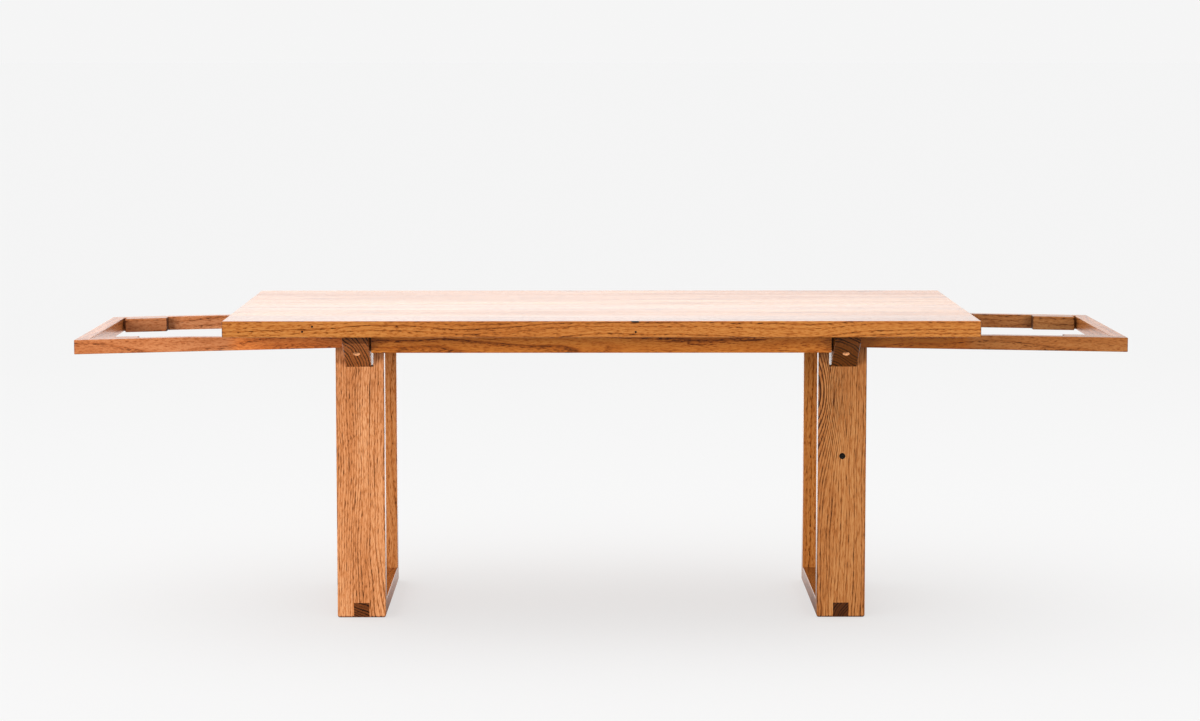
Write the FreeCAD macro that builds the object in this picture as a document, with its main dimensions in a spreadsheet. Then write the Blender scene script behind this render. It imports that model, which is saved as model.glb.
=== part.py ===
import FreeCAD, Part
import math
import os

import Sketcher

# Driving sizes of the table, in millimetres and degrees.
# X runs along the table, Y from the front edge to the back, Z up from the floor.
SIZES = [
    # Top
    ("top_length", 1800),
    ("top_width", 900),
    ("top_thick", 39),
    ("table_height", 747),
    ("top_round", 2.5),
    ("joint_inset", 11),
    # Legs and floor rails
    ("top_overhang", 253.5),
    ("leg_width", 118),
    ("leg_thick", 41),
    ("leg_depth", 264),
    ("edge_round", 2),
    ("foot_round", 6),
    ("floor_rail_thick", 40),
    ("tenon_width", 38),
    ("tenon_height", 36.5),
    # Bearers under the top
    ("bearer_width", 62),
    ("bearer_offset", 3),
    ("bearer_height", 89),
    ("nose_height", 21.5),
    ("nose_overhang", 42),
    ("bearer_gap", 5),
    # Aprons and the runners behind them
    ("apron_thick", 22),
    ("apron_height", 48.5),
    ("runner_width", 22),
    ("runner_reveal", 2),
    ("runner_centre_gap", 20),
    # Draw frames
    ("frame_pull", 373.5),
    ("left_droop", 1.4),
    ("right_droop", 1.0),
    ("rail_drop", 3),
    ("rail_thick", 30),
    ("rail_height", 35),
    ("rail_leg_gap", 16),
    ("end_rail_width", 34),
    ("stop_rail_width", 35),
    ("stop_rail_height", 20),
    ("block_length", 108),
    ("block_thick", 35),
    ("block_gap", 7),
    ("dowel_radius", 4),
    ("dowel_length", 36),
    ("dowel_spacing", 16),
    # Running and assembly clearances
    ("side_clear", 1),
    ("slide_clear", 0.5),
    ("seat_clear", 0.3),
    ("hole_clear", 0.15),
    # Screws that hold the top
    ("screw_inset", 15),
    ("screw_clamp", 30),
    ("screw_bite", 25),
    ("screw_head_radius", 7),
    ("screw_head_height", 5),
    ("screw_shank_radius", 3),
    ("bearer_bore_radius", 8.5),
    ("apron_screw_inset", 74),
    ("apron_screw_clamp", 26),
    ("apron_screw_head_radius", 4.5),
    ("apron_screw_head_height", 4),
    ("apron_screw_shank_radius", 2.25),
    ("apron_bore_radius", 5.5),
    # Filled holes in the reclaimed timber
    ("plug_radius", 7.5),
    ("plug_depth", 20),
    ("plug_height", 399),
    ("plug_offset", 1),
    ("nail_radius", 2.5),
    ("nail_depth", 8),
    ("nail_1_along", 190.5),
    ("nail_1_below", 25),
    ("nail_2_along", 214),
    ("nail_2_below", 13),
    ("nail_3_along", 980.5),
    ("nail_3_below", 26),
]
SIDES = (("left", "-1"), ("right", "1"))
ENDS = (("front", "-1"), ("rear", "1"))

# Derived places, written once as formulas of the driving sizes.
UNDERSIDE = "(Sizes.table_height - Sizes.top_thick)"
HALF_LENGTH = "(Sizes.top_length / 2)"
LEG_OUT = f"({HALF_LENGTH} - Sizes.top_overhang)"
LEG_IN = f"({LEG_OUT} - Sizes.leg_width)"
LEG_MID = f"({LEG_OUT} - Sizes.leg_width / 2)"
LEG_BACK = "(Sizes.leg_depth - Sizes.leg_thick)"
BEARER_X = f"({LEG_MID} + Sizes.bearer_offset)"
BEARER_IN = f"({BEARER_X} - Sizes.bearer_width / 2)"
BEARER_OUT = f"({BEARER_X} + Sizes.bearer_width / 2)"
RAIL_INNER = "(Sizes.leg_depth + Sizes.rail_leg_gap)"
RAIL_OUTER = f"({RAIL_INNER} + Sizes.rail_thick)"
RAIL_MID = f"({RAIL_INNER} + Sizes.rail_thick / 2)"
APRON_BACK = f"({RAIL_OUTER} + Sizes.side_clear)"
APRON_MID = f"({APRON_BACK} + Sizes.apron_thick / 2)"
BESIDE_BEARER = f"({BEARER_IN} - Sizes.bearer_gap)"
BEARER_REACH = f"({APRON_BACK} + Sizes.apron_thick + Sizes.nose_overhang)"
BEARER_UNDER = f"({UNDERSIDE} - Sizes.bearer_height)"
NOTCH_IN = f"({RAIL_INNER} - Sizes.side_clear)"
FRAME_END = f"({HALF_LENGTH} + Sizes.frame_pull)"
END_RAIL_IN = f"({FRAME_END} - Sizes.end_rail_width)"
BLOCK_OUT = f"({END_RAIL_IN} - Sizes.block_gap)"
BLOCK_IN = f"({BLOCK_OUT} - Sizes.block_length)"
STOP_OUT = f"({LEG_IN} - Sizes.slide_clear)"
STOP_IN = f"({STOP_OUT} - Sizes.stop_rail_width)"
TRAVEL = f"({BLOCK_IN} - {LEG_OUT} - Sizes.slide_clear)"
SCREW_OUTER = f"({APRON_BACK} + Sizes.screw_inset)"
SCREW_MIDDLE = f"({LEG_BACK} - Sizes.screw_inset)"
OUTER_JOINT = f"({APRON_BACK} - Sizes.joint_inset)"
SCREW_INNER = f"({OUTER_JOINT} / 4)"
APRON_SCREW_X = f"({BESIDE_BEARER} - Sizes.apron_screw_inset)"
# Lines between the top's boards, from the front edge to the back
BOARD_LINES = [
    "-Sizes.top_width / 2",
    f"-{OUTER_JOINT}",
    f"-{OUTER_JOINT} / 2",
    "0",
    f"{OUTER_JOINT} / 2",
    OUTER_JOINT,
    "Sizes.top_width / 2",
]
BOARDS = len(BOARD_LINES) - 1

doc = FreeCAD.newDocument("draw_frame_table")
sheet = doc.addObject("Spreadsheet::Sheet", "Sizes")
for row, (alias, value) in enumerate(SIZES, start=1):
    sheet.set(f"A{row}", alias)
    sheet.set(f"B{row}", str(value))
    sheet.setAlias(f"B{row}", alias)
doc.recompute()
nodes = []


def new_body(name):
    body = doc.addObject("PartDesign::Body", name)
    body.Label = name
    nodes.append(body)
    return body


def new_sketch(body, plane, offset):
    """A sketch on one of the body's own origin planes, moved along its normal."""
    sketch = body.newObject("Sketcher::SketchObject", f"{body.Name}_profile")
    support = next(f for f in body.Origin.OriginFeatures if f.Role == plane)
    sketch.AttachmentSupport = [(support, "")]
    sketch.MapMode = "FlatFace"
    direction = "-1" if plane == "XZ_Plane" else "1"
    sketch.setExpression("AttachmentOffset.Base.z", f"{direction} * ({offset})")
    return sketch


def outline(body, plane, offset, points):
    """A closed outline whose corners are bound to formulas."""
    sketch = new_sketch(body, plane, offset)
    count = len(points)
    turn = 2 * math.pi / count
    start = [FreeCAD.Vector(math.cos(i * turn), math.sin(i * turn), 0) for i in range(count)]
    sketch.addGeometry([Part.LineSegment(start[i], start[(i + 1) % count]) for i in range(count)])
    rules = [Sketcher.Constraint("Coincident", i, 2, (i + 1) % count, 1) for i in range(count)]
    for i, corner in enumerate(start):
        rules.append(Sketcher.Constraint("DistanceX", -1, 1, i, 1, corner.x))
        rules.append(Sketcher.Constraint("DistanceY", -1, 1, i, 1, corner.y))
    sketch.addConstraint(rules)
    for i, (across, up) in enumerate(points):
        sketch.setExpression(f"Constraints[{count + 2 * i}]", across)
        sketch.setExpression(f"Constraints[{count + 2 * i + 1}]", up)
    return sketch


def circles(body, plane, offset, centres, radius):
    """Equal circles whose centres and radius are bound to formulas."""
    sketch = new_sketch(body, plane, offset)
    axis = FreeCAD.Vector(0, 0, 1)
    for i in range(len(centres)):
        sketch.addGeometry(Part.Circle(FreeCAD.Vector(4 * i, 0, 0), axis, 1))
        sketch.addConstraint([
            Sketcher.Constraint("DistanceX", -1, 1, i, 3, 4.0 * i),
            Sketcher.Constraint("DistanceY", -1, 1, i, 3, 0.0),
            Sketcher.Constraint("Radius", i, 1.0),
        ])
    for i, (across, up) in enumerate(centres):
        sketch.setExpression(f"Constraints[{3 * i}]", across)
        sketch.setExpression(f"Constraints[{3 * i + 1}]", up)
        sketch.setExpression(f"Constraints[{3 * i + 2}]", radius)
    return sketch


def pad(body, sketch, length):
    feature = body.newObject("PartDesign::Pad", f"{body.Name}_pad")
    feature.Profile = sketch
    feature.SideType = "Symmetric"
    feature.setExpression("Length", length)
    doc.recompute()
    return feature


def pocket(body, sketch, length):
    """A cut that reaches equally to both sides of its sketch; it must remove material."""
    before = body.Shape.Volume
    feature = body.newObject("PartDesign::Pocket", f"{body.Name}_cut")
    feature.Profile = sketch
    feature.SideType = "Symmetric"
    feature.setExpression("Length", length)
    doc.recompute()
    if body.Shape.Volume >= before:
        raise RuntimeError(f"{body.Label}: a cut removed nothing")
    return feature


def ease(body, radius, chosen):
    """Round the edges that the test picks out of the body as it stands."""
    base = body.Tip
    box = base.Shape.BoundBox
    picked = [f"Edge{i}" for i, edge in enumerate(base.Shape.Edges, 1) if chosen(edge.BoundBox, box)]
    feature = body.newObject("PartDesign::Fillet", f"{body.Name}_round")
    feature.Base = (base, picked)
    feature.setExpression("Radius", radius)
    doc.recompute()
    return feature


def flat(length):
    return length < 1e-6


def near(one, other):
    return abs(one - other) < 1e-6


def along_x(edge, box):
    return flat(edge.YLength) and edge.XLength > edge.ZLength


def along_y(edge, box):
    return flat(edge.XLength) and flat(edge.ZLength)


def along_z(edge, box):
    return flat(edge.XLength) and flat(edge.YLength)


def scaled(side, pairs):
    """The same outline on the left (-1) or right (1) side."""
    return [(f"{side} * ({across})", up) for across, up in pairs]


def rectangle(low_x, low_y, high_x, high_y):
    return [(low_x, low_y), (high_x, low_y), (high_x, high_y), (low_x, high_y)]


def cylinder(name, radius, length, place, turned=False):
    """A round solid standing on its place; turned lays it along Y."""
    solid = doc.addObject("Part::Cylinder", name)
    solid.setExpression("Radius", radius)
    solid.setExpression("Height", length)
    if turned:
        solid.Placement.Rotation = FreeCAD.Rotation(FreeCAD.Vector(1, 0, 0), -90)
    for axis, formula in zip("xyz", place):
        solid.setExpression(f"Placement.Base.{axis}", formula)
    return solid


def group(name, solids):
    """Equal small pieces that share one node."""
    compound = doc.addObject("Part::Compound", name)
    compound.Label = name
    compound.Links = solids
    nodes.append(compound)
    return compound


# Screw places in plan
bearer_screws = {
    side: [
        (f"{sign} * {BEARER_X}", f"{end} * {distance}")
        for end in ("-1", "1")
        for distance in (SCREW_OUTER, SCREW_MIDDLE, SCREW_INNER)
    ]
    for side, sign in SIDES
}
apron_screws = {
    end: [(f"{share} * {APRON_SCREW_X}", f"{sign} * {APRON_MID}") for share in ("-1", "-1/3", "1/3", "1")]
    for end, sign in ENDS
}
nail_holes = [
    (f"Sizes.nail_{i}_along - {HALF_LENGTH}", f"Sizes.table_height - Sizes.nail_{i}_below")
    for i in (1, 2, 3)
]


def top_board(number):
    """One board of the top, with pilot holes for the screws that reach it."""
    body = new_body(f"top_board_{number}")
    low, high = BOARD_LINES[number - 1:number + 1]
    corners = rectangle(f"-{HALF_LENGTH}", low, HALF_LENGTH, high)
    middle = "Sizes.table_height - Sizes.top_thick / 2"
    pad(body, outline(body, "XY_Plane", middle, corners), "Sizes.top_thick")

    def rim(edge, box):
        end = flat(edge.XLength) and (near(edge.XMin, box.XMin) or near(edge.XMax, box.XMax))
        front = number == 1 and flat(edge.YLength) and near(edge.YMin, box.YMin)
        rear = number == BOARDS and flat(edge.YLength) and near(edge.YMax, box.YMax)
        return front or rear or (end and not flat(edge.YLength))

    ease(body, "Sizes.top_round", rim)
    pilot = "2 * (Sizes.screw_bite + Sizes.seat_clear)"
    places = bearer_screws["left"] + bearer_screws["right"]
    shank = "Sizes.screw_shank_radius + Sizes.hole_clear"
    pocket(body, circles(body, "XY_Plane", UNDERSIDE, places, shank), pilot)
    if number in (1, BOARDS):
        places = apron_screws["front"] + apron_screws["rear"]
        shank = "Sizes.apron_screw_shank_radius + Sizes.hole_clear"
        pocket(body, circles(body, "XY_Plane", UNDERSIDE, places, shank), pilot)
    if number == 1:
        front = "-Sizes.top_width / 2"
        bore = "Sizes.nail_radius + Sizes.hole_clear"
        pocket(body, circles(body, "XZ_Plane", front, nail_holes, bore), "2 * Sizes.nail_depth")


def nail_fillers():
    """Dark filler in the old nail holes of the front edge."""
    fills = [
        cylinder(f"nail_filler_{i}", "Sizes.nail_radius", "Sizes.nail_depth",
                 (across, "-Sizes.top_width / 2", up), turned=True)
        for i, (across, up) in enumerate(nail_holes, 1)
    ]
    group("nail_hole_fillers", fills)


def bearer(side, sign):
    """Cross bearer: sloped ends, open notches for the sliding rails, bored for screws."""
    body = new_body(f"{side}_bearer")
    notch_floor = f"({rail_bottom(side, BEARER_OUT)} - Sizes.seat_clear)"
    half = [
        ("Sizes.leg_depth", BEARER_UNDER),
        (BEARER_REACH, f"{UNDERSIDE} - Sizes.nose_height"),
        (BEARER_REACH, UNDERSIDE),
        (APRON_BACK, UNDERSIDE),
        (APRON_BACK, notch_floor),
        (NOTCH_IN, notch_floor),
        (NOTCH_IN, UNDERSIDE),
    ]
    corners = half + [(f"-{across}", up) for across, up in reversed(half)]
    pad(body, outline(body, "YZ_Plane", f"{sign} * {BEARER_X}", corners), "Sizes.bearer_width")
    reach = body.Shape.BoundBox.YMax

    def exposed(edge, box):
        outside = max(abs(edge.YMin), abs(edge.YMax)) > reach - 1e-6
        return flat(edge.XLength) and outside and not near(edge.ZMin, box.ZMax)

    ease(body, "Sizes.edge_round", exposed)
    places = bearer_screws[side]
    seat = f"({UNDERSIDE} - Sizes.screw_clamp)"
    depth = "(Sizes.bearer_height - Sizes.screw_clamp)"
    bore = circles(body, "XY_Plane", f"{seat} - {depth} / 2", places, "Sizes.bearer_bore_radius")
    pocket(body, bore, depth)
    shank = "Sizes.screw_shank_radius + Sizes.hole_clear"
    pocket(body, circles(body, "XY_Plane", UNDERSIDE, places, shank), "2 * Sizes.screw_clamp")


def leg(side, sign, end, facing):
    """Flat leg: a slot at the top straddles the bearer, with a gap at its inner side, and one at the
    foot takes the floor rail."""
    body = new_body(f"{side}_{end}_leg")
    tenon_low = f"({LEG_MID} - Sizes.tenon_width / 2)"
    tenon_high = f"({LEG_MID} + Sizes.tenon_width / 2)"
    corners = [
        (LEG_IN, "0"),
        (tenon_low, "0"),
        (tenon_low, "Sizes.tenon_height"),
        (tenon_high, "Sizes.tenon_height"),
        (tenon_high, "0"),
        (LEG_OUT, "0"),
        (LEG_OUT, UNDERSIDE),
        (BEARER_OUT, UNDERSIDE),
        (BEARER_OUT, BEARER_UNDER),
        (BESIDE_BEARER, BEARER_UNDER),
        (BESIDE_BEARER, UNDERSIDE),
        (LEG_IN, UNDERSIDE),
    ]
    middle = f"{facing} * (Sizes.leg_depth - Sizes.leg_thick / 2)"
    pad(body, outline(body, "XZ_Plane", middle, scaled(sign, corners)), "Sizes.leg_thick")

    def sole(edge, box):
        outer = near(edge.YMin, box.YMin) if facing == "-1" else near(edge.YMax, box.YMax)
        side = along_y(edge, box) and at_side(edge, box)
        return near(edge.ZMax, box.ZMin) and (side or (along_x(edge, box) and outer))

    ease(body, "Sizes.foot_round", sole)
    ease(body, "Sizes.edge_round", lambda edge, box: along_z(edge, box) and at_side(edge, box))
    return body


def at_side(edge, box):
    return near(edge.XMin, box.XMin) or near(edge.XMax, box.XMax)


def bore_leg_plug(body):
    """An old bolt hole in the right front leg, filled with a dark plug."""
    across = f"{LEG_MID} + Sizes.plug_offset"
    face = "-Sizes.leg_depth"
    bore = circles(body, "XZ_Plane", face, [(across, "Sizes.plug_height")],
                   "Sizes.plug_radius + Sizes.hole_clear")
    pocket(body, bore, "2 * Sizes.plug_depth")
    plug = cylinder("leg_hole_plug", "Sizes.plug_radius", "Sizes.plug_depth",
                    (across, face, "Sizes.plug_height"), turned=True)
    plug.Label = "leg_hole_plug"
    nodes.append(plug)


def floor_rail(side, sign):
    """Rail on the floor between two legs; its tenons pass through to their outer faces."""
    body = new_body(f"{side}_floor_rail")
    bar = scaled(sign, rectangle(LEG_IN, "0", LEG_OUT, "Sizes.floor_rail_thick"))
    pad(body, outline(body, "XZ_Plane", "0", bar), f"2 * {LEG_BACK}")
    ease(body, "Sizes.foot_round", lambda edge, box: along_y(edge, box) and near(edge.ZMax, box.ZMin))
    ease(body, "Sizes.edge_round", lambda edge, box: along_y(edge, box) and near(edge.ZMin, box.ZMax))
    tenon = rectangle(f"{LEG_MID} - Sizes.tenon_width / 2", "0",
                      f"{LEG_MID} + Sizes.tenon_width / 2", "Sizes.tenon_height")
    pad(body, outline(body, "XZ_Plane", "0", scaled(sign, tenon)), "2 * Sizes.leg_depth")

    def sole(edge, box):
        outer = near(edge.YMin, box.YMin) or near(edge.YMax, box.YMax)
        return along_x(edge, box) and outer and near(edge.ZMax, box.ZMin)

    ease(body, "Sizes.foot_round", sole)


def apron(end, facing):
    """Apron between the bearers, in front of the sliding rails, screwed up into the top."""
    body = new_body(f"{end}_apron")
    bar = rectangle(f"-{BESIDE_BEARER}", f"{UNDERSIDE} - Sizes.apron_height", BESIDE_BEARER, UNDERSIDE)
    pad(body, outline(body, "XZ_Plane", f"{facing} * {APRON_MID}", bar), "Sizes.apron_thick")
    ease(body, "Sizes.edge_round", lambda edge, box: along_x(edge, box) and near(edge.ZMax, box.ZMin))
    places = apron_screws[end]
    seat = f"({UNDERSIDE} - Sizes.apron_screw_clamp)"
    depth = "(Sizes.apron_height - Sizes.apron_screw_clamp)"
    pocket(body, circles(body, "XY_Plane", f"{seat} - {depth} / 2", places, "Sizes.apron_bore_radius"), depth)
    shank = "Sizes.apron_screw_shank_radius + Sizes.hole_clear"
    pocket(body, circles(body, "XY_Plane", UNDERSIDE, places, shank), "2 * Sizes.apron_screw_clamp")


def screw_group(name, places, kind):
    """Flat-headed screws driven up through a bored piece into the top."""
    clamp = f"Sizes.{kind}_clamp"
    head = f"Sizes.{kind}_head_height"
    solids = []
    for i, (across, along) in enumerate(places, 1):
        top = cylinder(f"{name}_shank_{i}", f"Sizes.{kind}_shank_radius", f"{clamp} + Sizes.screw_bite",
                       (across, along, f"{UNDERSIDE} - {clamp}"))
        cap = cylinder(f"{name}_head_{i}", f"Sizes.{kind}_head_radius", head,
                       (across, along, f"{UNDERSIDE} - {clamp} - {head}"))
        screw = doc.addObject("Part::Fuse", f"{name}_{i}")
        screw.Base = top
        screw.Tool = cap
        solids.append(screw)
    group(name, solids)


def slope(side):
    return f"tan(Sizes.{side}_droop * 1 deg)"


def rail_top(side, across):
    """Height of a draw frame's straight upper edge at a distance from the table's middle."""
    return f"({UNDERSIDE} - Sizes.rail_drop - ({across} - {BEARER_OUT}) * {slope(side)})"


def rail_bottom(side, across):
    return f"({rail_top(side, across)} - Sizes.rail_height)"


def lift(side):
    """How far a draw frame rises when it is pushed home."""
    return f"({TRAVEL} * {slope(side)})"


def runner(side, sign, end, facing):
    """Strip inside the apron that carries a sliding rail, with the rail's own slope on top."""
    body = new_body(f"{side}_{end}_runner")
    low = f"{UNDERSIDE} - Sizes.apron_height + Sizes.runner_reveal"
    middle = "(Sizes.runner_centre_gap / 2)"
    corners = [
        (middle, low),
        (BEARER_IN, low),
        (BEARER_IN, f"{rail_bottom(side, BEARER_IN)} - Sizes.seat_clear"),
        (middle, f"{rail_bottom(side, middle)} - Sizes.seat_clear"),
    ]
    place = f"{facing} * ({APRON_BACK} - Sizes.runner_width / 2)"
    pad(body, outline(body, "XZ_Plane", place, scaled(sign, corners)), "Sizes.runner_width")


def frame_dowels(side, sign):
    """Dowel places of one draw frame, in X and Z: two in the end rail, two in the stop rail."""
    end_mid = f"({FRAME_END} - Sizes.end_rail_width / 2)"
    stop_mid = f"({STOP_IN} + Sizes.stop_rail_width / 2)"
    half = "Sizes.dowel_spacing / 2"
    level = f"({rail_bottom(side, end_mid)} + Sizes.rail_height / 2)"
    stop_level = f"({rail_bottom(side, stop_mid)} + Sizes.stop_rail_height / 2)"
    places = {
        "end": [(end_mid, f"{level} - {half}"), (end_mid, f"{level} + {half}")],
        "stop": [(f"{stop_mid} - {half}", stop_level), (f"{stop_mid} + {half}", stop_level)],
    }
    return {joint: scaled(sign, pairs) for joint, pairs in places.items()}


def bore_dowels(body, facing, places):
    bore = "Sizes.dowel_radius + Sizes.hole_clear"
    for row in facing:
        sketch = circles(body, "XZ_Plane", f"{row} * {RAIL_INNER}", places, bore)
        pocket(body, sketch, "Sizes.dowel_length + 2 * Sizes.seat_clear")


def side_rail(side, sign, end, facing, dowels):
    """Side rail of a draw frame; its inner stretch is planed level to pass under the top."""
    body = new_body(f"{side}_frame_{end}_rail")
    level = f"({UNDERSIDE} - Sizes.slide_clear - {lift(side)})"
    bend = f"({BEARER_OUT} + ({lift(side)} + Sizes.slide_clear - Sizes.rail_drop) / {slope(side)})"
    corners = [
        (STOP_IN, rail_bottom(side, STOP_IN)),
        (FRAME_END, rail_bottom(side, FRAME_END)),
        (FRAME_END, rail_top(side, FRAME_END)),
        (bend, level),
        (STOP_IN, level),
    ]
    place = f"{facing} * {RAIL_MID}"
    pad(body, outline(body, "XZ_Plane", place, scaled(sign, corners)), "Sizes.rail_thick")
    inner = min(abs(body.Shape.BoundBox.XMin), abs(body.Shape.BoundBox.XMax))
    outer = max(abs(body.Shape.BoundBox.XMin), abs(body.Shape.BoundBox.XMax))

    def rounded(edge, box):
        place = abs(edge.XMin)
        return not along_y(edge, box) or near(place, inner) or near(place, outer)

    ease(body, "Sizes.edge_round", rounded)
    bore_dowels(body, (facing,), dowels["end"] + dowels["stop"])


def cross_rail(name, side, sign, low, high, height, dowels):
    """Rail between the side rails of a draw frame, tilted with them."""
    body = new_body(name)
    corners = [
        (low, rail_bottom(side, low)),
        (high, rail_bottom(side, high)),
        (high, f"{rail_bottom(side, high)} + {height}"),
        (low, f"{rail_bottom(side, low)} + {height}"),
    ]
    pad(body, outline(body, "XZ_Plane", "0", scaled(sign, corners)), f"2 * {RAIL_INNER}")
    ease(body, "Sizes.edge_round", along_y)
    bore_dowels(body, ("-1", "1"), dowels)


def stop_block(side, sign, end, facing):
    """Block inside a side rail that meets the leg when the frame is pushed home."""
    body = new_body(f"{side}_frame_{end}_block")
    corners = [
        (BLOCK_IN, rail_bottom(side, BLOCK_IN)),
        (BLOCK_OUT, rail_bottom(side, BLOCK_OUT)),
        (BLOCK_OUT, rail_top(side, BLOCK_OUT)),
        (BLOCK_IN, rail_top(side, BLOCK_IN)),
    ]
    place = f"{facing} * ({RAIL_INNER} - Sizes.block_thick / 2)"
    pad(body, outline(body, "XZ_Plane", place, scaled(sign, corners)), "Sizes.block_thick")
    ease(body, "Sizes.edge_round", lambda edge, box: True)


def dowel_group(side, dowels):
    solids = []
    for joint, places in dowels.items():
        for end, facing in ENDS:
            start = f"{facing} * {RAIL_INNER} - Sizes.dowel_length / 2"
            for i, (across, up) in enumerate(places, 1):
                name = f"{side}_{end}_{joint}_dowel_{i}"
                solids.append(cylinder(name, "Sizes.dowel_radius", "Sizes.dowel_length",
                                       (across, start, up), turned=True))
    group(f"{side}_frame_dowels", solids)


def draw_frame(side, sign):
    dowels = frame_dowels(side, sign)
    for end, facing in ENDS:
        side_rail(side, sign, end, facing, dowels)
        stop_block(side, sign, end, facing)
    cross_rail(f"{side}_frame_end_rail", side, sign, END_RAIL_IN, FRAME_END,
               "Sizes.rail_height", dowels["end"])
    cross_rail(f"{side}_frame_stop_rail", side, sign, STOP_IN, STOP_OUT,
               "Sizes.stop_rail_height", dowels["stop"])
    dowel_group(side, dowels)


# The fixed table
for number in range(1, BOARDS + 1):
    top_board(number)
nail_fillers()
for side, sign in SIDES:
    bearer(side, sign)
    screw_group(f"{side}_bearer_screws", bearer_screws[side], "screw")
    floor_rail(side, sign)
    for end, facing in ENDS:
        post = leg(side, sign, end, facing)
        if (side, end) == ("right", "front"):
            bore_leg_plug(post)
        runner(side, sign, end, facing)
for end, facing in ENDS:
    apron(end, facing)
    screw_group(f"{end}_apron_screws", apron_screws[end], "apron_screw")

# The two draw frames
for side, sign in SIDES:
    draw_frame(side, sign)

doc.recompute()
for item in doc.Objects:
    if "Invalid" in item.State or "Error" in item.State:
        raise RuntimeError(f"{item.Label} failed: {item.State}")
for node in nodes:
    if node.Shape.isNull() or not node.Shape.isValid() or not node.Shape.Solids:
        raise RuntimeError(f"{node.Label} has no valid solid")

os.makedirs("parts", exist_ok=True)
for node in nodes:
    node.Shape.exportStep(f"parts/{node.Label}.step")
print(f"{len(nodes)} nodes written")
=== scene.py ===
"""Looks of the draw frame table: oiled reclaimed hardwood, old holes filled with dark resin, steel screws."""

import math
from dataclasses import dataclass, replace

import bpy
from mathutils import Matrix, Vector


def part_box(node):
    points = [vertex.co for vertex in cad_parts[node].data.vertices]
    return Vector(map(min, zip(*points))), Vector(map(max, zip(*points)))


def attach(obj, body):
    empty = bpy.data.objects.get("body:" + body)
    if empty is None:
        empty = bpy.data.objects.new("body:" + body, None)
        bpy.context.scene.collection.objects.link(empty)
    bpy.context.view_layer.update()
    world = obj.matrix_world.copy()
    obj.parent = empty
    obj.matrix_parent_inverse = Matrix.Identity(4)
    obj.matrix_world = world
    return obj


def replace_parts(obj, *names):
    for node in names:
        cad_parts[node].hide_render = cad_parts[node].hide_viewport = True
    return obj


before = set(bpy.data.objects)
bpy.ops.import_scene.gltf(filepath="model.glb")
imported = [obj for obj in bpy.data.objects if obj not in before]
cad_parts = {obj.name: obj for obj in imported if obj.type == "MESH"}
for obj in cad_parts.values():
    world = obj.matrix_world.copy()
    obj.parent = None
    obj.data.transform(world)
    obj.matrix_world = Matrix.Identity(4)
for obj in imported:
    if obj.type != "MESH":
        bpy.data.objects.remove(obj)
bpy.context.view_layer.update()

bl_info = {
    "name": "Draw frame table",
    "version": (1, 0, 0),
    "blender": (4, 5, 0),
    "location": "3D View > Sidebar > Table",
    "description": "Finishes the timber of a draw frame table and adds its screws, plugs and fillers",
    "category": "Object",
}

MM = 0.001
SAME_POINT = 0.001 * MM
# The turn that lays each axis of the table along X, the way the grain runs in the wood's pattern.
GRAIN_TURN = {
    "X": (0.0, 0.0, 0.0),
    "Y": (0.0, 0.0, -math.pi / 2),
    "Z": (0.0, math.pi / 2, 0.0),
}
GRAIN_AXIS = {"X": (1, 0, 0), "Y": (0, 1, 0), "Z": (0, 0, 1)}


def colour(hex_value):
    """An sRGB hex value as linear red, green and blue."""
    parts = [int(hex_value[i:i + 2], 16) / 255 for i in (1, 3, 5)]
    return tuple(c / 12.92 if c <= 0.04045 else ((c + 0.055) / 1.055) ** 2.4 for c in parts)


def add_node(tree, kind, links=None, **settings):
    """One node with its settings; each input gets the socket, node or value that links names."""
    node = tree.nodes.new(kind)
    for name, value in settings.items():
        setattr(node, name, value)
    for socket, source in (links or {}).items():
        if isinstance(source, bpy.types.Node):
            source = source.outputs[0]
        if isinstance(source, bpy.types.NodeSocket):
            tree.links.new(source, node.inputs[socket])
        else:
            node.inputs[socket].default_value = source
    return node


def new_material(name):
    """A material with an empty node tree, and that tree."""
    material = bpy.data.materials.new(name)
    material.use_nodes = True
    material.node_tree.nodes.clear()
    return material, material.node_tree


def set_ramp(node, stops):
    """Places the colours of a ramp; each stop is a position and a colour."""
    elements = node.color_ramp.elements
    while len(elements) < len(stops):
        elements.new(0.5)
    for element, (position, shade) in zip(elements, stops):
        element.position = position
        element.color = (*shade, 1.0)


class TimberFinish(bpy.types.PropertyGroup):
    """Colours and grain of the oiled timber"""
    pale: bpy.props.FloatVectorProperty(
        name="Pale wood", description="Early wood between the rings", subtype="COLOR",
        size=3, min=0, max=1, default=colour("#CF9058"))
    warm: bpy.props.FloatVectorProperty(
        name="Warm wood", description="Heartwood where the board is richest", subtype="COLOR",
        size=3, min=0, max=1, default=colour("#B46C36"))
    ring: bpy.props.FloatVectorProperty(
        name="Ring", description="Late wood of the growth rings", subtype="COLOR",
        size=3, min=0, max=1, default=colour("#80471F"))
    pore: bpy.props.FloatVectorProperty(
        name="Pore", description="Open pores that hold dark oil", subtype="COLOR",
        size=3, min=0, max=1, default=colour("#4A2710"))
    end_pale: bpy.props.FloatVectorProperty(
        name="End grain", description="End grain, darkened by the oil it drank", subtype="COLOR",
        size=3, min=0, max=1, default=colour("#B8703F"))
    end_dark: bpy.props.FloatVectorProperty(
        name="End grain rings", description="Rings in the end grain", subtype="COLOR",
        size=3, min=0, max=1, default=colour("#1C0D06"))
    bare: bpy.props.FloatVectorProperty(
        name="Bare wood", description="Wood inside a bored hole, not oiled", subtype="COLOR",
        size=3, min=0, max=1, default=colour("#D99A6A"))
    ring_width: bpy.props.FloatProperty(
        name="Ring width", description="Distance between growth rings", unit="LENGTH",
        default=8.5 * MM, min=1 * MM, max=20 * MM)
    pore_width: bpy.props.FloatProperty(
        name="Pore width", description="Width of one pore line", unit="LENGTH",
        default=1.7 * MM, min=0.2 * MM, max=10 * MM)


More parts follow.
